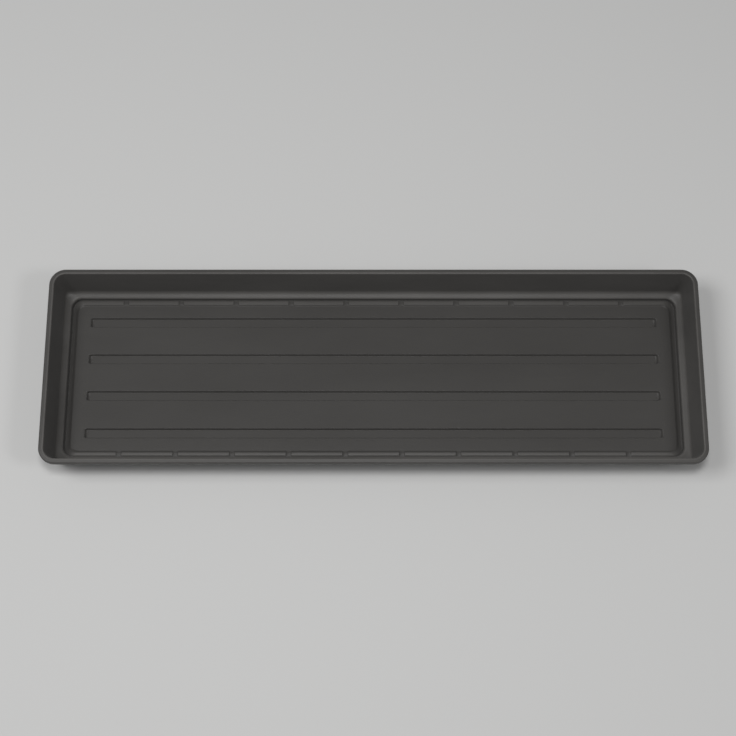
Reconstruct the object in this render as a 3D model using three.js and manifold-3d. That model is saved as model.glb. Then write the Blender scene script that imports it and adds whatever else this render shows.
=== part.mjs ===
// A long plant saucer for a window box: one injection-moulded plastic tray.
//
// The tray is a thin shell. Seen in section at its ends it goes from the floor down a bank into a
// gutter, up a riser to a sloping shoulder, then up a leaning wall to a rim that turns down outside.
// Along the two long sides the floor is flat up to a raised border, which fills the gutter there and
// fades out round the corners. The section is carried round a rounded rectangle, and long runners,
// channels and drain notches are then joined to the shell or cut from it.
//
// Millimetres, +Z up, +X along the tray. The origin is under the middle, where the runners stand.

import * as THREE from 'three';
import Module from 'manifold-3d';

const wasm = await Module();
wasm.setup();

// Overall size
const trayLength = 600;
const trayWidth = 187;
const trayHeight = 41;

// Plastic thickness
const wallThickness = 2;
const floorThickness = 2.2;

// Rim: a flat top that turns down into a skirt outside the wall
const rimWidth = 4.6;
const rimThickness = 2;
const skirtDrop = 5;
const skirtThickness = 1.6;
const rimInnerRounding = 1.2;
const rimOuterRounding = 1.1;
const skirtEdgeRounding = 0.5;

// Wall: leans in from the rim to its foot
const wallLean = 5.7;
const wallFootRounding = 3;

// Shoulder: slopes down and in from the wall's foot to the riser
const shoulderWidth = 5.7;
const shoulderFall = 2;
const shoulderRounding = 1.3;

// Riser: the step from the shoulder down to the gutter
const riserHeight = 6;
const riserLean = 0.7;
const riserFootRounding = 0.5;

// Gutter: a strip at the riser's foot, a gentle climb, then a bank up to the floor's crowned edge
const gutterStripWidth = 1.2;
const gutterWidth = 2.1;
const gutterClimb = 0.5;
const bankWidth = 2.2;
const bankRise = 1.5;
const bankTopRounding = 0.4;
const crownWidth = 4;
const crownRise = 0.5;

// Border: how far the gutter is filled along the long sides, at the groove by the riser and at the
// border's top, and the nose in which the border ends, part of the way up the bank
const grooveLift = 2.2;
const borderLift = 3.2;
const borderRounding = 0.6;
const noseWidth = 1.2;
const noseFall = 0.1;
const noseRounding = 0.5;

// Foot ring: the gutter's underside, which stands on the ground at the two ends
const footRingWidth = 5.1;
const footRingSlope = 2.8;

// Corner radii in plan, for the rim, the wall's foot, the riser, the gutter and the flat floor
const rimCornerRadius = 15;
const wallFootCornerRadius = 5;
const riserCornerRadius = 9.5;
const gutterCornerRadius = 8.5;
const floorCornerRadius = 5;
const cornerSteps = 7;
const roundingSteps = 3;

// Runners: channels pressed down out of the floor, which the tray stands on
const runnerCount = 4;
const runnerWidth = 9.4;
const runnerHeight = 2.2;
const runnerWall = 1.2;
const runnerSideDraft = 0.9;
const runnerEndDraft = 2;
const runnerCornerRadius = 1.6;
const runnerSideMargin = 8.3;
const runnerEndMargin = 7.8;

// Drain notches across the border of each long side
const notchPitch = 51.8;
const notchWidth = 5.6;
const notchDepth = 0.65;
const notchDraft = 1.8;
const notchCornerRadius = 0.4;
const notchRiserGap = 0.2;
const notchRun = 0.4;
const notchEndMargin = 40;

// How far a cutter or a joined block reaches past the face that it meets
const overlap = 1;

// Heights, from the runners up
const floorUnderside = runnerHeight;
const floorLevel = floorUnderside + floorThickness;
const bankTopHeight = floorLevel - crownRise;
const gutterInnerHeight = bankTopHeight - bankRise;
const gutterHeight = gutterInnerHeight - gutterClimb;
const bankNoseHeight = gutterInnerHeight + bankRise * noseWidth / bankWidth;
const borderHeight = gutterHeight + borderLift;
const borderInnerLift = borderHeight - gutterInnerHeight;
const noseLift = borderHeight - noseFall - bankNoseHeight;
const riserTopHeight = gutterHeight + riserHeight;
const wallFootHeight = riserTopHeight + shoulderFall;
const skirtBottomHeight = trayHeight - skirtDrop;
const rimUndersideHeight = trayHeight - rimThickness;

// Insets, from the rim's outer edge inwards
const wallFootInset = rimWidth + wallLean;
const riserTopInset = wallFootInset + shoulderWidth;
const riserFootInset = riserTopInset + riserLean;
const borderInset = riserFootInset + gutterStripWidth;
const gutterInset = borderInset + gutterWidth;
const noseInset = gutterInset + noseWidth;
const bankTopInset = gutterInset + bankWidth;
const floorInset = bankTopInset + crownWidth;
const footInset = riserFootInset - wallThickness;
const footRingInset = footInset + footRingWidth;

// The wall's inner face at a height between its foot and the rim
function wallInset(height) {
  const share = (trayHeight - height) / (trayHeight - wallFootHeight);
  return rimWidth + wallLean * share;
}

// A station of the section: its inset, height and plan corner radius, how far its corner is rounded
// back along the section, and how much higher it lies along the long sides
function station(inset, height, cornerRadius, rounding = 0, sideLift = 0) {
  return { place: new THREE.Vector4(inset, height, cornerRadius, sideLift), rounding };
}

// The section's stations, from the flat floor inside, over the rim, to the flat base below
function traySection() {
  const rimInnerRadius = rimCornerRadius - rimWidth;
  const skirtInnerRadius = rimCornerRadius - skirtThickness;
  const wallOuterRadius = rimInnerRadius + wallThickness;
  const riserOuterRadius = riserCornerRadius + wallThickness;
  const inside = [
    station(floorInset, floorLevel, floorCornerRadius),
    station(bankTopInset, bankTopHeight, gutterCornerRadius, bankTopRounding, crownRise),
    station(noseInset, bankNoseHeight, gutterCornerRadius, noseRounding, noseLift),
    station(gutterInset, gutterInnerHeight, gutterCornerRadius, noseRounding, borderInnerLift),
    station(borderInset, gutterHeight, riserCornerRadius, borderRounding, borderLift),
    station(riserFootInset, gutterHeight, riserCornerRadius, riserFootRounding, grooveLift),
    station(riserTopInset, riserTopHeight, riserCornerRadius, shoulderRounding),
    station(wallFootInset, wallFootHeight, wallFootCornerRadius, wallFootRounding),
    station(rimWidth, trayHeight, rimInnerRadius, rimInnerRounding),
  ];
  const rim = [
    station(0, trayHeight, rimCornerRadius, rimOuterRounding),
    station(0, skirtBottomHeight, rimCornerRadius, skirtEdgeRounding),
    station(skirtThickness, skirtBottomHeight, skirtInnerRadius, skirtEdgeRounding),
    station(skirtThickness, rimUndersideHeight, skirtInnerRadius),
    station(wallInset(rimUndersideHeight) - wallThickness, rimUndersideHeight, wallOuterRadius),
  ];
  const outside = [
    station(
      wallFootInset - wallThickness,
      wallFootHeight - wallThickness,
      wallFootCornerRadius + wallThickness,
      wallFootRounding,
    ),
    station(
      riserTopInset - wallThickness,
      riserTopHeight - wallThickness,
      riserOuterRadius,
      shoulderRounding,
    ),
    station(footInset, 0, riserOuterRadius, 0, floorUnderside),
    station(footRingInset, 0, gutterCornerRadius, 0, floorUnderside),
    station(footRingInset + footRingSlope, floorUnderside, gutterCornerRadius),
    station(floorInset, floorUnderside, floorCornerRadius),
  ];
  return [...inside, ...rim, ...outside];
}

// Rounds each station's corner with a curve that leaves and meets the section at its rounding
function roundSection(stations) {
  const places = [];
  stations.forEach(({ place, rounding }, index) => {
    if (rounding === 0) {
      places.push(place);
      return;
    }
    const towards = (neighbour) => {
      const reach = neighbour.clone().sub(place);
      const room = Math.hypot(reach.x, reach.y);
      return place.clone().addScaledVector(reach, Math.min(rounding / room, 0.48));
    };
    const before = towards(stations[index - 1].place);
    const after = towards(stations[index + 1].place);
    for (let step = 0; step <= roundingSteps; step += 1) {
      const share = step / roundingSteps;
      const leaving = before.clone().lerp(place, share);
      const meeting = place.clone().lerp(after, share);
      places.push(leaving.lerp(meeting, share));
    }
  });
  return places;
}

// The points of a rounded rectangle about the origin, anticlockwise from above. Its long sides lie
// higher than its short sides by the side lift, which comes in round the corners.
function roundedRectangle(length, width, radius, height, sideLift = 0) {
  const points = [];
  const corners = [[1, 1], [-1, 1], [-1, -1], [1, -1]];
  corners.forEach(([signX, signY], corner) => {
    for (let step = 0; step <= cornerSteps; step += 1) {
      const angle = (corner + step / cornerSteps) * Math.PI / 2;
      const x = signX * (length / 2 - radius) + radius * Math.cos(angle);
      const y = signY * (width / 2 - radius) + radius * Math.sin(angle);
      const longSideShare = Math.sin(angle) ** 2;
      points.push(new THREE.Vector3(x, y, height + sideLift * longSideShare));
    }
  });
  return points;
}

// A closed solid through rings of equally many points: its skin, and a flat cap at each end.
// The first ring's cap faces up, so the rings run down the outside of the solid.
function loft(rings) {
  const ringSize = rings[0].length;
  const triangles = [];
  for (let ring = 0; ring < rings.length - 1; ring += 1) {
    for (let point = 0; point < ringSize; point += 1) {
      const next = (point + 1) % ringSize;
      const upper = ring * ringSize;
      const lower = upper + ringSize;
      triangles.push(upper + point, lower + point, lower + next);
      triangles.push(upper + point, lower + next, upper + next);
    }
  }
  const last = (rings.length - 1) * ringSize;
  for (let point = 1; point < ringSize - 1; point += 1) {
    triangles.push(0, point, point + 1);
    triangles.push(last, last + point + 1, last + point);
  }
  const geometry = new THREE.BufferGeometry().setFromPoints(rings.flat());
  geometry.setIndex(triangles);
  return geometry;
}

// The shell: the section carried round the rounded rectangle of the tray's outline
function trayShell() {
  const rings = roundSection(traySection()).map(({ x: inset, y: height, z: cornerRadius, w: sideLift }) => (
    roundedRectangle(trayLength - 2 * inset, trayWidth - 2 * inset, cornerRadius, height, sideLift)
  ));
  return loft(rings);
}

// A block with rounded corners whose ends and sides draw in from its top to its bottom
function taperedBlock({ length, width, cornerRadius, endDraft, sideDraft, bottom, top }) {
  return loft([
    roundedRectangle(length, width, cornerRadius, top),
    roundedRectangle(length - 2 * endDraft, width - 2 * sideDraft, cornerRadius, bottom),
  ]);
}

function solidOf(geometry) {
  const mesh = new wasm.Mesh({
    numProp: 3,
    vertProperties: new Float32Array(geometry.getAttribute('position').array),
    triVerts: new Uint32Array(geometry.getIndex().array),
  });
  return new wasm.Manifold(mesh);
}

function geometryOf(solid) {
  const { vertProperties, triVerts } = solid.getMesh();
  const geometry = new THREE.BufferGeometry();
  geometry.setAttribute('position', new THREE.BufferAttribute(vertProperties, 3));
  geometry.setIndex(new THREE.BufferAttribute(triVerts, 1));
  geometry.computeVertexNormals();
  return geometry;
}

// Where the runners lie across the floor, from one long side to the other
function runnerOffsets() {
  const reach = trayWidth / 2 - floorInset - runnerSideMargin - runnerWidth / 2;
  const pitch = 2 * reach / (runnerCount - 1);
  return Array.from({ length: runnerCount }, (_, index) => index * pitch - reach);
}

// A runner's form: grown by its wall it is the runner below the floor, and as it is it hollows the
// channel from above
function runnerForm(wall, bottom) {
  const channelLength = trayLength - 2 * (floorInset + runnerEndMargin);
  const reach = (runnerHeight + overlap) / runnerHeight;
  return taperedBlock({
    length: channelLength + 2 * (wall + runnerEndDraft * (reach - 1)),
    width: runnerWidth + 2 * (wall + runnerSideDraft * (reach - 1)),
    cornerRadius: runnerCornerRadius + wall,
    endDraft: runnerEndDraft * reach,
    sideDraft: runnerSideDraft * reach,
    bottom,
    top: bottom + runnerHeight + overlap,
  });
}

// Where the notches lie along a long side: pairs, half a pitch either side of the middle
function notchOffsets() {
  const reach = trayLength / 2 - bankTopInset - notchEndMargin;
  const pairs = Math.floor(reach / notchPitch + 0.5);
  const right = Array.from({ length: pairs }, (_, index) => (index + 0.5) * notchPitch);
  return [...right.map((offset) => -offset), ...right];
}

// A notch crosses the border from the groove at the riser's foot to the foot of its nose
const notchOuterInset = riserFootInset + notchRiserGap;
const notchInnerInset = bankTopInset + notchRun;

function notchCutter() {
  const reach = (notchDepth + overlap) / notchDepth;
  return taperedBlock({
    length: notchWidth + 2 * notchDraft * (reach - 1),
    width: notchInnerInset - notchOuterInset,
    cornerRadius: notchCornerRadius,
    endDraft: notchDraft * reach,
    sideDraft: 0,
    bottom: borderHeight - notchDepth,
    top: borderHeight + overlap,
  });
}

function notchPlaces() {
  const centre = trayWidth / 2 - (notchOuterInset + notchInnerInset) / 2;
  return notchOffsets().flatMap((x) => [[x, centre], [x, -centre]]);
}

function buildTray() {
  let tray = solidOf(trayShell());
  const runner = solidOf(runnerForm(runnerWall, 0));
  const channel = solidOf(runnerForm(0, floorLevel - runnerHeight));
  const notch = solidOf(notchCutter());
  runnerOffsets().forEach((y) => {
    tray = tray.add(runner.translate([0, y, 0]));
    tray = tray.subtract(channel.translate([0, y, 0]));
  });
  notchPlaces().forEach(([x, y]) => {
    tray = tray.subtract(notch.translate([x, y, 0]));
  });
  return geometryOf(tray);
}

const plastic = new THREE.MeshStandardMaterial({ color: 0x464540, roughness: 0.5, metalness: 0 });

const saucerTray = new THREE.Mesh(buildTray(), plastic);
saucerTray.name = 'saucer_tray';

const plantSaucer = new THREE.Group();
plantSaucer.add(saucerTray);

export default plantSaucer;
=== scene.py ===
# %% [markdown]
# A long plant saucer, made in Blender
#
# The saucer stands under a window box and catches its water. It is one moulding of dark plastic, so this
# lesson makes one piece: a thin skin with a turned-down rim, a leaning wall, a soft shoulder, a gutter at
# each end, a notched border along each long side and a floor with four long channels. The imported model
# gives the frame and the outer size. Everything is built in that frame, so nothing has to be fitted
# afterwards. The saucer's sizes are in millimetres, as on a mould maker's drawing, and become metres where
# the mesh is made.

# %% Load the frame
import math
from collections import namedtuple

import bpy
import numpy as np
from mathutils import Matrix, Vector


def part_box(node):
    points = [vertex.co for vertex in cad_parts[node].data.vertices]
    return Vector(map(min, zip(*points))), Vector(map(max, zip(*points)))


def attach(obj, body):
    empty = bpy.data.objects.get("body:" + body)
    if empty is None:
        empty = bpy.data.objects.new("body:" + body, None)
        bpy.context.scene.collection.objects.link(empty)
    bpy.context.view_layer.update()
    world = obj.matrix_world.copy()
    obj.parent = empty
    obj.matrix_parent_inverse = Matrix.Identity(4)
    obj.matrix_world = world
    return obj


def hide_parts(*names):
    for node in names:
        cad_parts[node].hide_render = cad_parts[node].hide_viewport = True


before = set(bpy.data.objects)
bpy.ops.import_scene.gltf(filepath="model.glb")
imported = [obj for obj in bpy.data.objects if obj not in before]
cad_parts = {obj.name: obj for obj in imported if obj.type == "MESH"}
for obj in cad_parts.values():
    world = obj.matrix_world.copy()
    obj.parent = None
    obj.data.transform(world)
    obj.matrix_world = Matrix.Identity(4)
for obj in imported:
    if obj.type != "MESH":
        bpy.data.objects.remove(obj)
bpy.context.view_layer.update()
tray_low, tray_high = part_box("saucer_tray")

MM = 0.001
LENGTH, WIDTH, HEIGHT = (tray_high - tray_low) / MM
print(f"outer size: {LENGTH:.1f} x {WIDTH:.1f} x {HEIGHT:.1f} mm")

# %% [markdown]
# The section
#
# Cut the saucer anywhere and the same thin section shows, but for one thing: the gutter of the two ends is
# filled by a raised border along the long sides. A mould maker draws such a section as a few corners and
# then rounds each one. The corners could be traced as one long list of points, but then no size could be
# changed by itself. So the section is built up from sizes with names, first the heights and then the
# distances in from the rim, which are called insets here.
#
# The rim's top isn't quite flat: it falls a little outwards, and that is what catches the light along the
# near edge, together with a highlight painted on the rim. Its inner edge is drawn a little too high,
# because the rounding takes that much off again.

# %% Rim, wall and shoulder
RIM_WIDTH = 4.6
RIM_ROUNDING_LOSS = 0.146
WALL_LEAN = 5.7
SHOULDER_WIDTH = 5.7
SHOULDER_FALL = 2.0
RISER_HEIGHT = 6.0
RISER_LEAN = 0.7
GUTTER_BOTTOM = 1.9

RIM_EDGE = HEIGHT + RIM_ROUNDING_LOSS
RISER_TOP = GUTTER_BOTTOM + RISER_HEIGHT
WALL_FOOT = RISER_TOP + SHOULDER_FALL

WALL_FOOT_INSET = RIM_WIDTH + WALL_LEAN
RISER_TOP_INSET = WALL_FOOT_INSET + SHOULDER_WIDTH
RISER_FOOT_INSET = RISER_TOP_INSET + RISER_LEAN
print(f"wall: down to {WALL_FOOT:.1f} mm, then the shoulder down to {RISER_TOP:.1f} mm")

# %% Gutter, border and floor
GUTTER_STRIP = 1.2
GUTTER_WIDTH = 2.1
GUTTER_CLIMB = 0.5
BANK_WIDTH = 2.2
BANK_RISE = 1.5
CROWN_WIDTH = 4.0
CROWN_RISE = 0.5
FLOOR_THICKNESS = 2.2
GROOVE_LIFT = 2.2
BORDER_LIFT = 3.1
BORDER_CLIMB = 0.2
NOSE_WIDTH = 1.2
NOSE_FALL = 0.1
NOSE_FOOT_LIFT = 0.4

GUTTER_INNER = GUTTER_BOTTOM + GUTTER_CLIMB
BANK_NOSE = GUTTER_INNER + BANK_RISE * NOSE_WIDTH / BANK_WIDTH
BANK_TOP = GUTTER_INNER + BANK_RISE
BORDER_TOP = GUTTER_BOTTOM + BORDER_LIFT + BORDER_CLIMB
BORDER_INNER_LIFT = BORDER_TOP - GUTTER_INNER
NOSE_LIFT = BORDER_TOP - NOSE_FALL - BANK_NOSE
FLOOR_TOP = BANK_TOP + CROWN_RISE
FLOOR_UNDERSIDE = FLOOR_TOP - FLOOR_THICKNESS

STRIP_INSET = RISER_FOOT_INSET + GUTTER_STRIP
GUTTER_INSET = STRIP_INSET + GUTTER_WIDTH
NOSE_INSET = GUTTER_INSET + NOSE_WIDTH
BANK_TOP_INSET = GUTTER_INSET + BANK_WIDTH
CROWN_INSET = BANK_TOP_INSET + CROWN_WIDTH
print(f"floor: {FLOOR_TOP:.1f} mm, border: {BORDER_TOP:.1f} mm, gutter: {GUTTER_BOTTOM:.1f} mm")

# %% [markdown]
# The stations
#
# Each corner of the section is a station. It has an inset, a height, the radius of its corner in plan and
# how far it is rounded. It also says how much highlight is painted into its colour, and what changes along
# the long sides: how much higher it lies there, whether it is part of the border, and how much more
# highlight is painted there. The inside runs from the floor up to the rim, and the outside from the rim
# down again, a wall's thickness away, so the two make one skin.

# %% Stations of the inside
RIM_CORNER = 15.0
WALL_FOOT_CORNER = 5.0
RISER_CORNER = 9.5
FLOOR_CORNER = 8.5
CROWN_CORNER = 5.0

SHARP = 0.0
NOSE_FOOT_ROUNDING = 0.4
NOSE_ROUNDING = 0.5
STRIP_ROUNDING = 0.6
RISER_FOOT_ROUNDING = 0.5
SHOULDER_ROUNDING = 1.3
WALL_FOOT_ROUNDING = 2.3
RIM_INNER_ROUNDING = 1.2

# Shares of painted highlight: the rim, the shoulder and the border top are painted lighter by these.
EDGE_HIGHLIGHT = 1.0
SHOULDER_HIGHLIGHT = 0.7
BORDER_HIGHLIGHT = 0.65
ON_BORDER = 1.0

STATION_FIELDS = "inset rise corner rounding wear lift border side_wear"
Station = namedtuple("Station", STATION_FIELDS, defaults=(0.0, 0.0, 0.0, 0.0))


def inner_stations():
    """From the flat floor up to the inner edge of the rim."""
    return [
        Station(CROWN_INSET, FLOOR_TOP, CROWN_CORNER, SHARP),
        Station(BANK_TOP_INSET, BANK_TOP, FLOOR_CORNER, NOSE_FOOT_ROUNDING, lift=NOSE_FOOT_LIFT),
        Station(NOSE_INSET, BANK_NOSE, FLOOR_CORNER, NOSE_ROUNDING, lift=NOSE_LIFT, border=ON_BORDER),
        Station(
            GUTTER_INSET, GUTTER_INNER, FLOOR_CORNER, NOSE_ROUNDING,
            lift=BORDER_INNER_LIFT, border=ON_BORDER, side_wear=BORDER_HIGHLIGHT,
        ),
        Station(
            STRIP_INSET, GUTTER_BOTTOM, RISER_CORNER, STRIP_ROUNDING,
            lift=BORDER_LIFT, border=ON_BORDER, side_wear=BORDER_HIGHLIGHT,
        ),
        Station(RISER_FOOT_INSET, GUTTER_BOTTOM, RISER_CORNER, RISER_FOOT_ROUNDING, lift=GROOVE_LIFT),
        Station(RISER_TOP_INSET, RISER_TOP, RISER_CORNER, SHOULDER_ROUNDING, wear=EDGE_HIGHLIGHT),
        Station(WALL_FOOT_INSET, WALL_FOOT, WALL_FOOT_CORNER, WALL_FOOT_ROUNDING, wear=SHOULDER_HIGHLIGHT),
        Station(RIM_WIDTH, RIM_EDGE, RIM_CORNER - RIM_WIDTH, RIM_INNER_ROUNDING, wear=EDGE_HIGHLIGHT),
    ]


inner = inner_stations()
print(f"inside: {len(inner)} stations")

# %% Stations of the outside
WALL = 2.0
RIM_THICKNESS = 2.0
RIM_FALL = 0.6
SKIRT_DROP = 5.0
SKIRT_THICKNESS = 1.6
FOOT_RING_WIDTH = 5.1
FOOT_RING_SLOPE = 2.8

RIM_OUTER_ROUNDING = 1.1
SKIRT_ROUNDING = 0.5
RIM_HOLLOW_ROUNDING = 0.4
OUTER_WALL_FOOT_ROUNDING = 2.0
OUTER_SHOULDER_ROUNDING = 0.8
FOOT_ROUNDING = 0.6
FLOOR_EDGE_ROUNDING = 0.4
# The rim's outer edge gets less of the painted highlight.
RIM_OUTER_HIGHLIGHT = 0.3


def wall_inset(rise):
    """How far in the wall's inner face lies at a height."""
    share = (HEIGHT - rise) / (HEIGHT - WALL_FOOT)
    return RIM_WIDTH + WALL_LEAN * share


def outer_stations():
    """From the rim's outer edge, up inside the skirt, then down the outside to the floor's underside."""
    skirt_bottom = HEIGHT - SKIRT_DROP
    rim_underside = HEIGHT - RIM_THICKNESS
    skirt_corner = RIM_CORNER - SKIRT_THICKNESS
    wall_corner = RIM_CORNER - RIM_WIDTH + WALL
    foot_corner = RISER_CORNER + WALL
    wall_top_inset = wall_inset(rim_underside) - WALL
    wall_foot_inset = WALL_FOOT_INSET - WALL
    wall_foot_corner = WALL_FOOT_CORNER + WALL
    shoulder_inset = RISER_TOP_INSET - WALL
    foot_inset = RISER_FOOT_INSET - WALL
    ring_inset = foot_inset + FOOT_RING_WIDTH
    slope_inset = ring_inset + FOOT_RING_SLOPE
    return [
        Station(0.0, RIM_EDGE - RIM_FALL, RIM_CORNER, RIM_OUTER_ROUNDING, wear=RIM_OUTER_HIGHLIGHT),
        Station(0.0, skirt_bottom, RIM_CORNER, SKIRT_ROUNDING),
        Station(SKIRT_THICKNESS, skirt_bottom, skirt_corner, SKIRT_ROUNDING),
        Station(SKIRT_THICKNESS, rim_underside, skirt_corner, RIM_HOLLOW_ROUNDING),
        Station(wall_top_inset, rim_underside, wall_corner, RIM_HOLLOW_ROUNDING),
        Station(wall_foot_inset, WALL_FOOT - WALL, wall_foot_corner, OUTER_WALL_FOOT_ROUNDING),
        Station(shoulder_inset, RISER_TOP - WALL, foot_corner, OUTER_SHOULDER_ROUNDING),
        Station(foot_inset, 0.0, foot_corner, FOOT_ROUNDING, lift=FLOOR_UNDERSIDE),
        Station(ring_inset, 0.0, FLOOR_CORNER, FOOT_ROUNDING, lift=FLOOR_UNDERSIDE),
        Station(slope_inset, FLOOR_UNDERSIDE, FLOOR_CORNER, FLOOR_EDGE_ROUNDING),
        Station(CROWN_INSET, FLOOR_UNDERSIDE, CROWN_CORNER, SHARP),
    ]


outer = outer_stations()
print(f"outside: {len(outer)} stations")

# %% [markdown]
# Rounding the section
#
# Every edge of the real saucer is soft, because molten plastic doesn't fill a sharp corner well and a sharp
# corner cracks. A Bevel modifier could soften the finished mesh, but each of its edges would need a weight
# of its own, and the notches and channels would be in its way. So the section is rounded before it is
# carried round: each corner becomes a short curve of its own width. A supporting point just before the
# curve and one just after it keep the flat faces flat under smooth shading. Where two curves meet on a
# short side there is no room for both supports. Points that would lie on each other there are left out,
# because they would make faces without any area.

# %% Round the corners
SectionPoint = namedtuple("SectionPoint", "inset rise corner lift border side_wear wear inside")

INSIDE_STEPS = 5
OUTSIDE_STEPS = 3
SUPPORT = 0.35
LONGEST_REACH = 0.49


def towards(place, neighbour, distance):
    """A point on the way from one station to its neighbour, short of the middle."""
    way = neighbour - place
    room = math.hypot(way[0], way[1])
    return place + way * min(distance / room, LONGEST_REACH)


def round_section(stations, inside_count):
    """Replaces each corner with a curve, with a supporting point just before it and just after it."""
    places = [np.array((s.inset, s.rise, s.corner, s.lift, s.border, s.side_wear)) for s in stations]
    section = []
    for index, station in enumerate(stations):
        inside = float(index < inside_count)
        steps = INSIDE_STEPS if inside else OUTSIDE_STEPS
        corner = places[index]
        if index in (0, len(stations) - 1):
            section.append(SectionPoint(*corner, 0.0, inside))
            continue
        before, after = places[index - 1], places[index + 1]
        start = towards(corner, before, station.rounding)
        end = towards(corner, after, station.rounding)
        support_reach = station.rounding + SUPPORT
        # A supporting point takes the smaller painted highlight of its two stations.
        support_highlight = min(station.wear, stations[index - 1].wear)
        section.append(SectionPoint(*towards(corner, before, support_reach), support_highlight, inside))
        for step in range(steps + 1):
            share = step / steps
            first = start + (corner - start) * share
            second = corner + (end - corner) * share
            section.append(SectionPoint(*(first + (second - first) * share), station.wear, inside))
        support_highlight = min(station.wear, stations[index + 1].wear)
        section.append(SectionPoint(*towards(corner, after, support_reach), support_highlight, inside))
    return section


rounded = round_section(inner + outer, len(inner))
print(f"rounded section: {len(rounded)} points")

# %% Leave out points that lie on each other
CLOSEST = 0.05


def place_of(point):
    """What decides where a section point's ring lies."""
    return point.inset, point.rise, point.corner, point.lift


def without_repeats(section):
    """The section without a point that lies on the one before it."""
    kept = section[:1]
    for point in section[1:]:
        if math.dist(place_of(point), place_of(kept[-1])) > CLOSEST:
            kept.append(point)
    return kept


tray_section = without_repeats(rounded)
print(f"section: {len(tray_section)} points")

# %% [markdown]
# The net's lines
#
# The section is carried round a rectangle with rounded corners. A curve with a bevel profile could do that,
# but here each level has its own corner radius: the rim's corners are wide and the wall's foot is tight.
# So a net of rings is laid out, one ring to a section point. Its lines run close together where a notch or
# a channel will have an edge, and far apart where the plastic is straight. Most of the faces are spent
# where there is something to see.

# %% Sizes of the notches and channels
NOTCH_COUNT = 10
NOTCH_PITCH = 51.8
NOTCH_WIDTH = 3.6
NOTCH_SOFTNESS = 1.0
CHANNEL_COUNT = 4
CHANNEL_PITCH = 36.2
CHANNEL_WIDTH = 9.4
CHANNEL_LENGTH = 532.0
CHANNEL_DRAFT = 0.9
CHANNEL_END_DRAFT = 2.0
CHANNEL_CORNER = 1.6
RUNNER_WALL = 1.2
print(f"notches: {NOTCH_COUNT} to a side, {NOTCH_WIDTH} mm wide")
print(f"channels: {CHANNEL_COUNT}, each {CHANNEL_LENGTH:.0f} x {CHANNEL_WIDTH} mm")

# %% Lines along the tray
NOTCH_LINES = 3
CHANNEL_END_LINES = 14


def edge_lines(start, end, steps):
    """Net lines across the softened edge of a notch or channel, with one more on each side of it."""
    spread = [start + (end - start) * step / steps for step in range(steps + 1)]
    margin = (end - start) / steps
    return [start - margin, *spread, end + margin]


def both_sides(lines):
    """The same lines on the two sides of the tray's middle, and the middle itself."""
    return sorted([-line for line in lines] + [0.0] + lines)


def lines_along():
    """Where the net's lines cross the tray's length."""
    lines = []
    half = NOTCH_WIDTH / 2
    slope = edge_lines(half, half + NOTCH_SOFTNESS, NOTCH_LINES)[1:]
    for index in range(NOTCH_COUNT // 2):
        notch = (index + 0.5) * NOTCH_PITCH
        lines += [notch - x for x in slope] + [notch] + [notch + x for x in slope]
    channel_end = CHANNEL_LENGTH / 2
    end_corner = CHANNEL_CORNER * CHANNEL_END_DRAFT / CHANNEL_DRAFT
    lines += edge_lines(channel_end - end_corner, channel_end + RUNNER_WALL, CHANNEL_END_LINES)
    return both_sides(lines)


along = lines_along()
print(f"net: {len(along)} lines along the tray")

# %% Lines across the tray
CHANNEL_SIDE_LINES = 4
RUNNER_SIDE_LINES = 2


def lines_across():
    """Where the net's lines cross the tray's width."""
    lines = []
    side = CHANNEL_WIDTH / 2
    runner_side = side + RUNNER_WALL
    spread = edge_lines(side - CHANNEL_DRAFT, side, CHANNEL_SIDE_LINES)
    spread += edge_lines(runner_side - CHANNEL_DRAFT, runner_side, RUNNER_SIDE_LINES)
    for index in range(CHANNEL_COUNT // 2):
        middle = (index + 0.5) * CHANNEL_PITCH
        lines += [middle - y for y in spread]
        lines += [middle + y for y in spread]
    return both_sides(lines)


across = lines_across()
print(f"net: {len(across)} lines across the tray")

# %% [markdown]
# The rings
#
# Seen from above, every level of the saucer is a rectangle with rounded corners. On its way round a corner
# the section changes from the end's gutter to the long side's border. A hard change would leave a step
# there, which no mould has. So each point of a ring has a share: one on a long side, nothing at an end, and
# a smooth wave round the corner. The station's lift is multiplied by it.

# %% Shares of the long sides
CORNER_STEPS = 14


def corner_angles(quarter):
    """The directions round one of the four corners."""
    return [(quarter + step / CORNER_STEPS) * math.pi / 2 for step in range(CORNER_STEPS + 1)]


def long_side_shares():
    """For each point of a ring, one on a long side, nothing on a short side and a soft change between."""
    shares = []
    for quarter, side in enumerate((across, along, across, along)):
        shares += [float(quarter % 2)] * len(side)
        shares += [math.sin(angle) ** 2 for angle in corner_angles(quarter)]
    return shares


side_shares = long_side_shares()
ring_size = len(side_shares)
print(f"a ring: {ring_size} points")

# %% Lay the rings
def ring(point):
    """One round of the tray at a section point, anticlockwise from above, from the right-hand side."""
    reach_x, reach_y = LENGTH / 2 - point.inset, WIDTH / 2 - point.inset
    sides = [
        [(reach_x, y) for y in across],
        [(x, reach_y) for x in reversed(along)],
        [(-reach_x, y) for y in reversed(across)],
        [(x, -reach_y) for x in along],
    ]
    signs = [(1, 1), (-1, 1), (-1, -1), (1, -1)]
    places = []
    for quarter, (side, (sign_x, sign_y)) in enumerate(zip(sides, signs)):
        places += side
        for angle in corner_angles(quarter):
            x = sign_x * (reach_x - point.corner) + point.corner * math.cos(angle)
            y = sign_y * (reach_y - point.corner) + point.corner * math.sin(angle)
            places.append((x, y))
    rises = [point.rise + point.lift * share for share in side_shares]
    return [(x * MM, y * MM, rise * MM) for (x, y), rise in zip(places, rises)]


rings = [ring(point) for point in tray_section]
print(f"rings: {len(rings)} of {ring_size} points")

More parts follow.
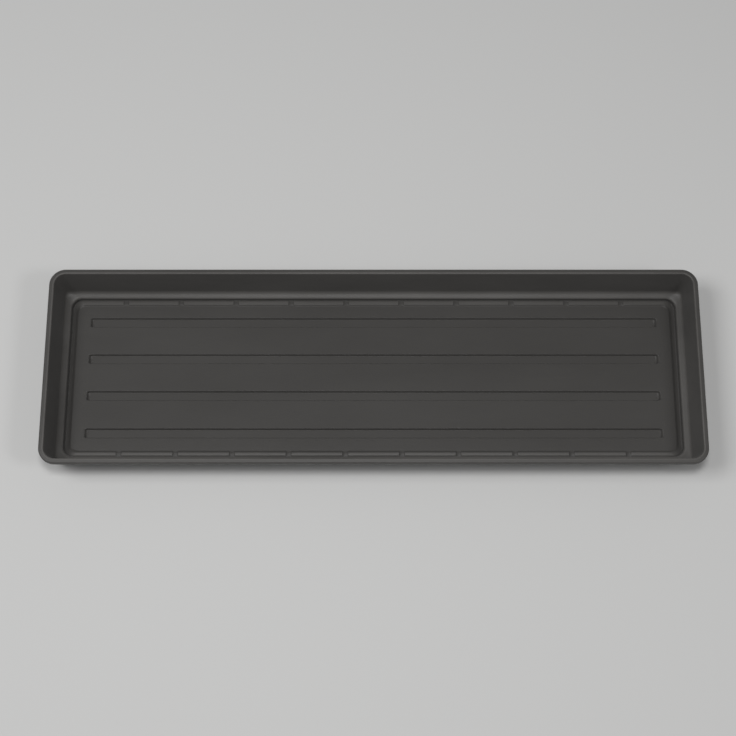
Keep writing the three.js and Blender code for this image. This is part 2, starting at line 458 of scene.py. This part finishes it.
# %% [markdown]
# The closed skin
#
# The real moulding has an upper and a lower skin that meet at the rim. A Solidify modifier could make the
# second one from the first, but the foot under the gutter, the hollow rim and the runners don't follow the
# inside. Here the rings run over the rim and back below, so the two skins are one strip. The floor inside
# the first ring and the underside inside the last one are plain grids on the same lines, so the mesh
# closes without a seam.

# %% Faces between the rings
def ring_faces():
    """The quads between each ring and the next."""
    faces = []
    for level in range(len(rings) - 1):
        upper, lower = level * ring_size, (level + 1) * ring_size
        for point in range(ring_size):
            beside = (point + 1) % ring_size
            faces.append([upper + point, lower + point, lower + beside, upper + beside])
    return faces


skin_faces = ring_faces()
print(f"between the rings: {len(skin_faces)} faces")

# %% Faces of a floor
def grid_faces(first, upward):
    """The quads of a floor grid whose vertices start at a number."""
    columns = len(along)
    faces = []
    for row in range(len(across) - 1):
        for column in range(columns - 1):
            corner = first + row * columns + column
            quad = [corner, corner + 1, corner + columns + 1, corner + columns]
            faces.append(quad if upward else quad[::-1])
    return faces


def grid_rim():
    """The floor grid's vertex that each point of a ring joins to, in the ring's order."""
    columns, rows = len(along), len(across)
    right = [row * columns + columns - 1 for row in range(rows)]
    far = [(rows - 1) * columns + column for column in reversed(range(columns))]
    left = [row * columns for row in reversed(range(rows))]
    near = list(range(columns))
    rim = []
    for side in (right, far, left, near):
        rim += side + [side[-1]] * (CORNER_STEPS + 1)
    return rim


joined = grid_rim()


def joining_faces(first, edge, upward):
    """The faces between a floor grid and its ring. At a grid's corner they are triangles."""
    faces = []
    for point in range(ring_size):
        beside = (point + 1) % ring_size
        face = [first + joined[point], edge + point, edge + beside, first + joined[beside]]
        faces.append(list(dict.fromkeys(face if upward else face[::-1])))
    return faces


print(f"floor grid: {len(along) * len(across)} vertices, joined to the {len(joined)} points of a ring")

# %% Join the skin into one mesh
def tray_net():
    """The plain tray as one closed mesh, with what its pattern and finish need kept on each vertex."""
    vertices = [place for one in rings for place in one]
    inside = [point.inside for point in tray_section for _ in range(ring_size)]
    border = [point.border * share for point in tray_section for share in side_shares]
    # How much highlight is painted on each vertex.
    wear = [point.wear + point.side_wear * share for point in tray_section for share in side_shares]
    faces = list(skin_faces)

    last_ring = (len(rings) - 1) * ring_size
    for rise, upward, edge in ((FLOOR_TOP, True, 0), (FLOOR_UNDERSIDE, False, last_ring)):
        first = len(vertices)
        vertices += [(x * MM, y * MM, rise * MM) for y in across for x in along]
        count = len(vertices) - first
        inside += [float(upward)] * count
        border += [0.0] * count
        wear += [0.0] * count
        faces += grid_faces(first, upward)
        faces += joining_faces(first, edge, upward)

    mesh = bpy.data.meshes.new("tray_net")
    mesh.from_pydata(vertices, [], faces)
    for name, values in (("inside", inside), ("border", border), ("wear", wear)):
        mesh.attributes.new(name, "FLOAT", "POINT").data.foreach_set("value", values)
    return mesh


tray_blank = bpy.data.objects.new("tray_blank", tray_net())
bpy.context.scene.collection.objects.link(tray_blank)
print(f"blank: {len(tray_blank.data.vertices)} vertices, {len(tray_blank.data.polygons)} faces")

# %% [markdown]
# The plastic's tones
#
# The real saucer is dark warm-grey polypropylene, dyed through. One flat colour would look like a drawing,
# because in a real moulding the dye is never quite even: the melt runs along the tray and leaves slow
# streaks. A painted image could show them, but it would need a map on the mesh and would blur up close. So
# a noise texture, stretched along the tray, blends a darker and a lighter grey. It reads the object's own
# coordinates, so it stays put when the saucer is moved.

# %% Two greys from the melt
PLASTIC = (0.0462, 0.0443, 0.0420)
PLASTIC_LIGHT = (0.0627, 0.0604, 0.0576)
FLOW_SCALE = (5.0, 16.0, 16.0)
FLOW_DETAIL = 5.0
FLOW_ROUGHNESS = 0.6


def put(tree, kind, settings=None, **inputs):
    """Adds a node. An input is another node's output, which is linked, or a value, which is set.

    A name such as i6 stands for the input with that number, where the node's names aren't clear.
    """
    made = tree.nodes.new(kind)
    for name, value in (settings or {}).items():
        setattr(made, name, value)
    for name, value in inputs.items():
        key = int(name[1:]) if name[1:].isdigit() else name.replace("_", " ")
        socket = made.inputs[key]
        if isinstance(value, bpy.types.NodeSocket):
            tree.links.new(value, socket)
        else:
            socket.default_value = value
    return made


def colour(rgb):
    return (*rgb, 1.0)


def mixed(tree, share, first, second):
    """Blends two colours. A Mix node has its colours at inputs 6 and 7 and their blend at output 2."""
    return put(tree, "ShaderNodeMix", {"data_type": "RGBA"}, Factor=share, i6=first, i7=second).outputs[2]


def noise(tree, place, detail, roughness, scale=1.0):
    """A noise texture and its grey output."""
    return put(
        tree, "ShaderNodeTexNoise", Vector=place, Scale=scale, Detail=detail, Roughness=roughness,
    ).outputs[0]


plastic = bpy.data.materials.new("dark_plastic")
plastic.use_nodes = True
plastic_tree = plastic.node_tree
plastic_shader = plastic_tree.nodes["Principled BSDF"]
on_tray = plastic_tree.nodes.new("ShaderNodeTexCoord").outputs["Object"]
flow = put(plastic_tree, "ShaderNodeMapping", Vector=on_tray, Scale=FLOW_SCALE).outputs[0]
mottle = noise(plastic_tree, flow, FLOW_DETAIL, FLOW_ROUGHNESS)
tone = mixed(plastic_tree, mottle, colour(PLASTIC), colour(PLASTIC_LIGHT))
print(f"tones: {len(plastic_tree.nodes)} nodes")

# %% [markdown]
# Painted highlights on the edges
#
# The rim, the shoulder and the border top are painted lighter than the rest: a painted highlight for the
# light these edges catch. Blender can find edges by itself with a Bevel node or with Pointiness, but the
# first is slow and the second depends on the mesh. The net already knows where the edges are and keeps the
# highlight's share on its vertices, so the finish only has to read it. The mottling breaks the painted
# highlight up, and a few faint lighter lines along the floor stand for pots that were pushed in and out.

# %% Painted highlight on the edges, rub marks on the floor
# A lighter grey: a painted highlight on the edges, and real rub marks on the floor.
PLASTIC_HIGHLIGHT_AND_WEAR = (0.1110, 0.1070, 0.1020)
EDGE_HIGHLIGHT_STRENGTH = 1.4
FLOOR_RUB = 0.05
RUB_SCALE = (9.0, 420.0, 60.0)
RUB_DETAIL = 3.0
RUB_ROUGHNESS = 0.65
RUB_FAINT = 0.62
RUB_CLEAR = 0.78


def math_step(tree, operation, *values):
    """One Math node and its output."""
    inputs = {f"i{index}": value for index, value in enumerate(values)}
    return put(tree, "ShaderNodeMath", {"operation": operation}, **inputs).outputs[0]


kept_highlight = put(plastic_tree, "ShaderNodeAttribute", {"attribute_name": "wear"}).outputs["Fac"]
lengthwise = put(plastic_tree, "ShaderNodeMapping", Vector=on_tray, Scale=RUB_SCALE).outputs[0]
rubs = noise(plastic_tree, lengthwise, RUB_DETAIL, RUB_ROUGHNESS)
rub_lines = put(
    plastic_tree, "ShaderNodeMapRange", Value=rubs, From_Min=RUB_FAINT, From_Max=RUB_CLEAR,
).outputs[0]
# The painted highlight of the edges, broken up by the mottling.
edge_highlight_mask = math_step(plastic_tree, "MULTIPLY", kept_highlight, mottle)
edge_highlight = math_step(plastic_tree, "MULTIPLY", edge_highlight_mask, EDGE_HIGHLIGHT_STRENGTH)
highlight_and_wear_share = math_step(plastic_tree, "MULTIPLY_ADD", rub_lines, FLOOR_RUB, edge_highlight)
highlighted_and_worn_tone = mixed(plastic_tree, highlight_and_wear_share, tone, colour(PLASTIC_HIGHLIGHT_AND_WEAR))
plastic_tree.links.new(highlighted_and_worn_tone, plastic_shader.inputs["Base Color"])
print(f"tones and wear: {len(plastic_tree.nodes)} nodes")

# %% [markdown]
# Satin and grain
#
# The mould's face is roughened by sparks, so the plastic has a fine grain and a satin sheen, and rubbing
# polishes it a little. The grain is far too fine to model: a bump map from a small noise tilts the light
# instead. The same mottling that changes the colour changes the roughness slightly. A trace of sheen
# stands for the dust that such a saucer always has.

# %% Roughness and bump
SPECULAR_LEVEL = 0.2
DUST_SHEEN = 0.045
MOTTLE_LOW = 0.3
MOTTLE_HIGH = 0.7
SATIN_SMOOTH = 0.38
SATIN_ROUGH = 0.46
EDGE_POLISH = 0.08
GRAIN_SCALE = 1100.0
GRAIN_DETAIL = 2.0
GRAIN_ROUGHNESS = 0.5
GRAIN_STRENGTH = 0.3
GRAIN_DEPTH = 0.3 * MM

plastic_shader.inputs["Specular IOR Level"].default_value = SPECULAR_LEVEL
plastic_shader.inputs["Sheen Weight"].default_value = DUST_SHEEN

satin = put(
    plastic_tree, "ShaderNodeMapRange", Value=mottle,
    From_Min=MOTTLE_LOW, From_Max=MOTTLE_HIGH, To_Min=SATIN_SMOOTH, To_Max=SATIN_ROUGH,
).outputs[0]
# Where highlight is painted, the plastic is also made a little smoother.
polish = math_step(plastic_tree, "MULTIPLY", edge_highlight_mask, EDGE_POLISH)
roughness = math_step(plastic_tree, "SUBTRACT", satin, polish)
plastic_tree.links.new(roughness, plastic_shader.inputs["Roughness"])

grain = noise(plastic_tree, on_tray, GRAIN_DETAIL, GRAIN_ROUGHNESS, GRAIN_SCALE)
bump = put(plastic_tree, "ShaderNodeBump", Height=grain, Strength=GRAIN_STRENGTH, Distance=GRAIN_DEPTH)
plastic_tree.links.new(bump.outputs[0], plastic_shader.inputs["Normal"])
print(f"material: {plastic.name}, {len(plastic_tree.nodes)} nodes")

# %% [markdown]
# Notches and channels
#
# Along each long side ten drain notches cross the border, and four channels run along the floor. Below the
# floor the channels are the runners that the saucer stands on. Cutters could make them, but cut edges come
# out sharp and leave long thin faces. They all follow one rule, repeated at a pitch, so a node tree works
# out each vertex's height instead: a channel sinks both skins of the floor, and a notch sinks the border.
# The pitch repeats by itself, and every edge comes out softly rounded. The tree also takes the painted
# highlight away at the bottom of a notch.

# %% Outline of a channel
def from_channel_middle(tree, size, y):
    """How far a vertex is from the middle line of the channel that is nearest to it."""
    from_middle = math_step(tree, "ABSOLUTE", y)
    lanes_out = math_step(tree, "FLOOR", math_step(tree, "DIVIDE", from_middle, size["Channel Pitch"]))
    lane = math_step(tree, "MINIMUM", lanes_out, CHANNEL_COUNT / 2 - 1)
    lane_middle = math_step(tree, "MULTIPLY", math_step(tree, "ADD", lane, 0.5), size["Channel Pitch"])
    return math_step(tree, "ABSOLUTE", math_step(tree, "SUBTRACT", from_middle, lane_middle))


def past_channel(tree, size, x, y, inside):
    """How far a vertex lies outside a channel's rounded outline. A runner is wider by its wall."""
    below = math_step(tree, "MULTIPLY", math_step(tree, "SUBTRACT", 1.0, inside), size["Runner Wall"])
    grown = math_step(tree, "SUBTRACT", below, size["Channel Corner"])
    end_share = math_step(tree, "DIVIDE", size["Channel Draft"], size["Channel End Draft"])
    half_length = math_step(tree, "MULTIPLY_ADD", size["Channel Length"], 0.5, below)
    from_end = math_step(tree, "SUBTRACT", math_step(tree, "ABSOLUTE", x), half_length)
    past_end = math_step(tree, "MULTIPLY_ADD", from_end, end_share, size["Channel Corner"])
    half_width = math_step(tree, "MULTIPLY_ADD", size["Channel Width"], 0.5, grown)
    past_side = math_step(tree, "SUBTRACT", from_channel_middle(tree, size, y), half_width)
    outside = [math_step(tree, "MAXIMUM", one, 0.0) for one in (past_end, past_side)]
    squares = [math_step(tree, "POWER", one, 2.0) for one in outside]
    round_corner = math_step(tree, "SQRT", math_step(tree, "ADD", *squares))
    within = math_step(tree, "MINIMUM", math_step(tree, "MAXIMUM", past_end, past_side), 0.0)
    from_corner = math_step(tree, "ADD", round_corner, within)
    return math_step(tree, "SUBTRACT", from_corner, size["Channel Corner"])


print(f"channel: corners rounded by {CHANNEL_CORNER} mm, {CHANNEL_PITCH} mm to the next one")

# %% Depth of a channel
def soft_step(tree, value, start, end, **heights):
    """Goes softly from nothing at the start to one, or to another height, at the end."""
    return put(
        tree, "ShaderNodeMapRange", {"interpolation_type": "SMOOTHSTEP"},
        Value=value, From_Min=start, From_Max=end, **heights,
    ).outputs[0]


def channel_depth(tree, size, x, y, inside):
    """How deep a channel sinks a vertex: nothing outside it, all of its depth past its drafted side."""
    drafted = math_step(tree, "MULTIPLY", size["Channel Draft"], -1.0)
    past = past_channel(tree, size, x, y, inside)
    return soft_step(tree, past, 0.0, drafted, To_Min=0.0, To_Max=size["Channel Depth"])


print(f"channel: sides drafted over {CHANNEL_DRAFT} mm, ends over {CHANNEL_END_DRAFT} mm")

# %% Rule of a notch
def notch_share(tree, size, x, border):
    """How much of a vertex of the border a notch takes: all of it in the notch's middle."""
    half_pitch = math_step(tree, "MULTIPLY", size["Notch Pitch"], 0.5)
    half_run = math_step(tree, "MULTIPLY_ADD", size["Notch Width"], -0.5, half_pitch)
    beat = math_step(tree, "PINGPONG", x, half_pitch)
    soft_edge = math_step(tree, "SUBTRACT", half_run, size["Notch Softness"])
    border_left = soft_step(tree, beat, half_run, soft_edge)
    notched = math_step(tree, "SUBTRACT", 1.0, border_left)
    return math_step(tree, "MULTIPLY", notched, border)


print(f"notch: sides softened over {NOTCH_SOFTNESS} mm, {NOTCH_PITCH} mm to the next one")

# %% Sizes for the pressing
NOTCH_DEPTH = 0.75
CHANNEL_DEPTH = FLOOR_UNDERSIDE

PRESSING_SIZES = {
    "Channel Pitch": CHANNEL_PITCH,
    "Channel Width": CHANNEL_WIDTH,
    "Channel Length": CHANNEL_LENGTH,
    "Channel Depth": CHANNEL_DEPTH,
    "Channel Draft": CHANNEL_DRAFT,
    "Channel End Draft": CHANNEL_END_DRAFT,
    "Channel Corner": CHANNEL_CORNER,
    "Runner Wall": RUNNER_WALL,
    "Notch Pitch": NOTCH_PITCH,
    "Notch Width": NOTCH_WIDTH,
    "Notch Depth": NOTCH_DEPTH,
    "Notch Softness": NOTCH_SOFTNESS,
}
print(f"pressing: notches {NOTCH_DEPTH} mm deep, channels {CHANNEL_DEPTH:.1f} mm deep")

# %% The pressing tree
def kept(tree, name):
    """A value that the net keeps on its vertices."""
    return put(tree, "GeometryNodeInputNamedAttribute", {"data_type": "FLOAT"}, Name=name).outputs[0]


def pressing_tree():
    """Sinks the notches and channels into the blank, and gives it its plastic."""
    tree = bpy.data.node_groups.new("press_notches_and_channels", "GeometryNodeTree")
    tree.interface.new_socket("Geometry", in_out="INPUT", socket_type="NodeSocketGeometry")
    for name in PRESSING_SIZES:
        tree.interface.new_socket(name, in_out="INPUT", socket_type="NodeSocketFloat")
    tree.interface.new_socket("Plastic", in_out="INPUT", socket_type="NodeSocketMaterial")
    tree.interface.new_socket("Geometry", in_out="OUTPUT", socket_type="NodeSocketGeometry")
    size = tree.nodes.new("NodeGroupInput").outputs

    place = tree.nodes.new("GeometryNodeInputPosition").outputs[0]
    x, y, z = put(tree, "ShaderNodeSeparateXYZ", Vector=place).outputs
    notch = notch_share(tree, size, x, kept(tree, "border"))
    # The painted highlight is taken away at the bottom of a notch.
    highlight_outside_notches = math_step(tree, "MAXIMUM", math_step(tree, "SUBTRACT", kept(tree, "wear"), notch), 0.0)
    highlight_stored = put(
        tree, "GeometryNodeStoreNamedAttribute", {"data_type": "FLOAT", "domain": "POINT"},
        Geometry=size["Geometry"], Name="wear", Value=highlight_outside_notches,
    ).outputs[0]

    notch_depth = math_step(tree, "MULTIPLY", notch, size["Notch Depth"])
    sunk = math_step(tree, "ADD", notch_depth, channel_depth(tree, size, x, y, kept(tree, "inside")))
    pressed = math_step(tree, "SUBTRACT", z, sunk)
    moved = put(tree, "ShaderNodeCombineXYZ", X=x, Y=y, Z=pressed).outputs[0]
    shaped = put(tree, "GeometryNodeSetPosition", Geometry=highlight_stored, Position=moved).outputs[0]
    smooth = put(tree, "GeometryNodeSetShadeSmooth", Geometry=shaped).outputs[0]
    whole = put(tree, "GeometryNodeRealizeInstances", Geometry=smooth).outputs[0]
    dyed = put(tree, "GeometryNodeSetMaterial", Geometry=whole, Material=size["Plastic"]).outputs[0]
    put(tree, "NodeGroupOutput", Geometry=dyed)
    return tree


pressing = pressing_tree()
print(f"pressing tree: {len(pressing.nodes)} nodes, {len(PRESSING_SIZES)} sizes")

# %% [markdown]
# The finished tray
#
# On the real saucer nothing is added after the mould opens. Here too: the tree runs once on the blank, its
# result is kept as a plain mesh, and the modifier and the blank are removed. A live modifier could stay on
# the piece, but a plain mesh is what the other tools read. The tray then stands for the imported model's
# node, moves with its only body and takes the dark plastic.

# %% Press the tray
def press(blank, tree, piece_name):
    """Runs the tree on the blank and keeps the result as a plain mesh."""
    modifier = blank.modifiers.new("pressing", "NODES")
    modifier.node_group = tree
    values = {size_name: size * MM for size_name, size in PRESSING_SIZES.items()}
    values["Plastic"] = plastic
    for item in tree.interface.items_tree:
        if item.in_out == "INPUT" and item.name in values:
            modifier[item.identifier] = values[item.name]
    evaluated = blank.evaluated_get(bpy.context.evaluated_depsgraph_get())
    mesh = bpy.data.meshes.new_from_object(evaluated)
    mesh.name = piece_name
    piece = bpy.data.objects.new(piece_name, mesh)
    bpy.context.scene.collection.objects.link(piece)
    blank.modifiers.clear()
    bpy.data.objects.remove(blank)
    return piece


tray_body = press(tray_blank, pressing, "tray_body")
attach(tray_body, "root")
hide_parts("saucer_tray")
tray_body.data.calc_loop_triangles()
print(f"tray: {len(tray_body.data.loop_triangles)} triangles")

# %% [markdown]
# The table
#
# The saucer lies on a plain pale table. A small table would show its edge in a low view, and a large one
# goes dark far away, because the lamps stand close to the saucer. More lamps would mend that, but they
# would light the saucer too. So the table glows a little where it is far from the saucer, and only the
# camera and reflections see the glow. Close to the saucer there is none, and the shadow stays.

# %% Table paint
TABLE = (0.60, 0.60, 0.595)
TABLE_ROUGHNESS = 0.7
GLOW_START = 0.7
GLOW_FULL = 3.0
GLOW = 0.41
WHITE = (1.0, 1.0, 1.0)


def far_glow(tree):
    """A glow far from the tray, where the lamps fade. Only the camera and reflections see it."""
    on_table = tree.nodes.new("ShaderNodeTexCoord").outputs["Object"]
    distance = put(tree, "ShaderNodeVectorMath", {"operation": "LENGTH"}, Vector=on_table).outputs["Value"]
    far = soft_step(tree, distance, GLOW_START, GLOW_FULL, To_Max=GLOW)
    path = tree.nodes.new("ShaderNodeLightPath").outputs
    mirrored = math_step(tree, "MAXIMUM", path["Is Glossy Ray"], path["Is Transmission Ray"])
    seen = math_step(tree, "MAXIMUM", path["Is Camera Ray"], mirrored)
    return math_step(tree, "MULTIPLY", far, seen)


def table_paint():
    material = bpy.data.materials.new("pale_table")
    material.use_nodes = True
    tree = material.node_tree
    shader = tree.nodes["Principled BSDF"]
    shader.inputs["Roughness"].default_value = TABLE_ROUGHNESS
    shader.inputs["Base Color"].default_value = colour(TABLE)
    shader.inputs["Emission Color"].default_value = colour(WHITE)
    tree.links.new(far_glow(tree), shader.inputs["Emission Strength"])
    return material


paint = table_paint()
print(f"table paint: {len(paint.node_tree.nodes)} nodes")

# %% Table
TABLE_HALF = 12.0
TABLE_DROP = 0.1 * MM


def pale_table():
    mesh = bpy.data.meshes.new("table")
    signs = [(-1, -1), (1, -1), (1, 1), (-1, 1)]
    corners = [(x * TABLE_HALF, y * TABLE_HALF, -TABLE_DROP) for x, y in signs]
    mesh.from_pydata(corners, [], [[0, 1, 2, 3]])
    mesh.materials.append(paint)
    table = bpy.data.objects.new("table", mesh)
    bpy.context.scene.collection.objects.link(table)
    return table


pale_table()
print(f"table: {2 * TABLE_HALF:.0f} m square")

# %% [markdown]
# The lights
#
# Three soft boxes stand round the saucer: a broad one high on the left, a smaller one on the right and one
# nearly overhead. One big light would be simpler, but its shadows come out too wide. With an even sky the
# three leave the walls dark, draw a light line along the shoulder and the near rim, and lay a soft shadow
# on the right and a narrow one in front, as on a product table.

# %% Sky
SKY_STRENGTH = 0.13


def even_sky():
    world = bpy.data.worlds.new("even_sky")
    world.use_nodes = True
    background = world.node_tree.nodes["Background"]
    background.inputs["Color"].default_value = colour(WHITE)
    background.inputs["Strength"].default_value = SKY_STRENGTH
    return world


bpy.context.scene.world = even_sky()
print(f"sky: strength {SKY_STRENGTH}")

# %% Soft boxes
BOX_DISTANCE = 2.4


def soft_box(name, azimuth, elevation, size, power):
    """A square area light that faces the tray. Azimuth 0 is the front and 90 the right."""
    turn, climb = math.radians(azimuth), math.radians(elevation)
    level = math.cos(climb)
    back = Vector((math.sin(turn) * level, -math.cos(turn) * level, math.sin(climb)))
    lamp = bpy.data.lights.new(name, "AREA")
    lamp.size = size
    lamp.energy = power
    light = bpy.data.objects.new(name, lamp)
    light.location = back * BOX_DISTANCE
    light.rotation_euler = back.to_track_quat("Z", "Y").to_euler()
    bpy.context.scene.collection.objects.link(light)
    return light


soft_boxes = [
    soft_box("left_box", azimuth=277.0, elevation=60.0, size=0.95, power=21.2),
    soft_box("right_box", azimuth=65.0, elevation=50.0, size=0.5, power=8.0),
    soft_box("top_box", azimuth=0.0, elevation=84.0, size=0.45, power=19.5),
]
print("lights:", ", ".join(light.name for light in soft_boxes))

# %% [markdown]
# The camera
#
# The picture looks down on the saucer steeply, from the front. The two ends come out nearly parallel, so
# the lens was long. A wide lens close by could frame the same saucer, but it would spread the near side.
# The camera therefore stands well back, and a small shift puts the saucer where it is in the picture.

# %% Camera
VIEW_ELEVATION = math.radians(70.4)
VIEW_DISTANCE = 1.5570
VIEW_LENS = 83.82
VIEW_SENSOR = 36.0
VIEW_SHIFT = (-0.0076, -0.0052)


def front_camera():
    view = Vector((0.0, math.cos(VIEW_ELEVATION), -math.sin(VIEW_ELEVATION)))
    camera = bpy.data.cameras.new("front_camera")
    camera.sensor_width = VIEW_SENSOR
    camera.lens = VIEW_LENS
    camera.shift_x, camera.shift_y = VIEW_SHIFT
    rig = bpy.data.objects.new("front_camera", camera)
    rig.location = Vector((0.0, 0.0, HEIGHT * MM)) - view * VIEW_DISTANCE
    rig.rotation_euler = view.to_track_quat("-Z", "Y").to_euler()
    bpy.context.scene.collection.objects.link(rig)
    return rig


bpy.context.scene.camera = front_camera()
bpy.context.scene.view_settings.view_transform = "Standard"
print(f"camera: {VIEW_DISTANCE:.2f} m away, {VIEW_LENS:.0f} mm lens")
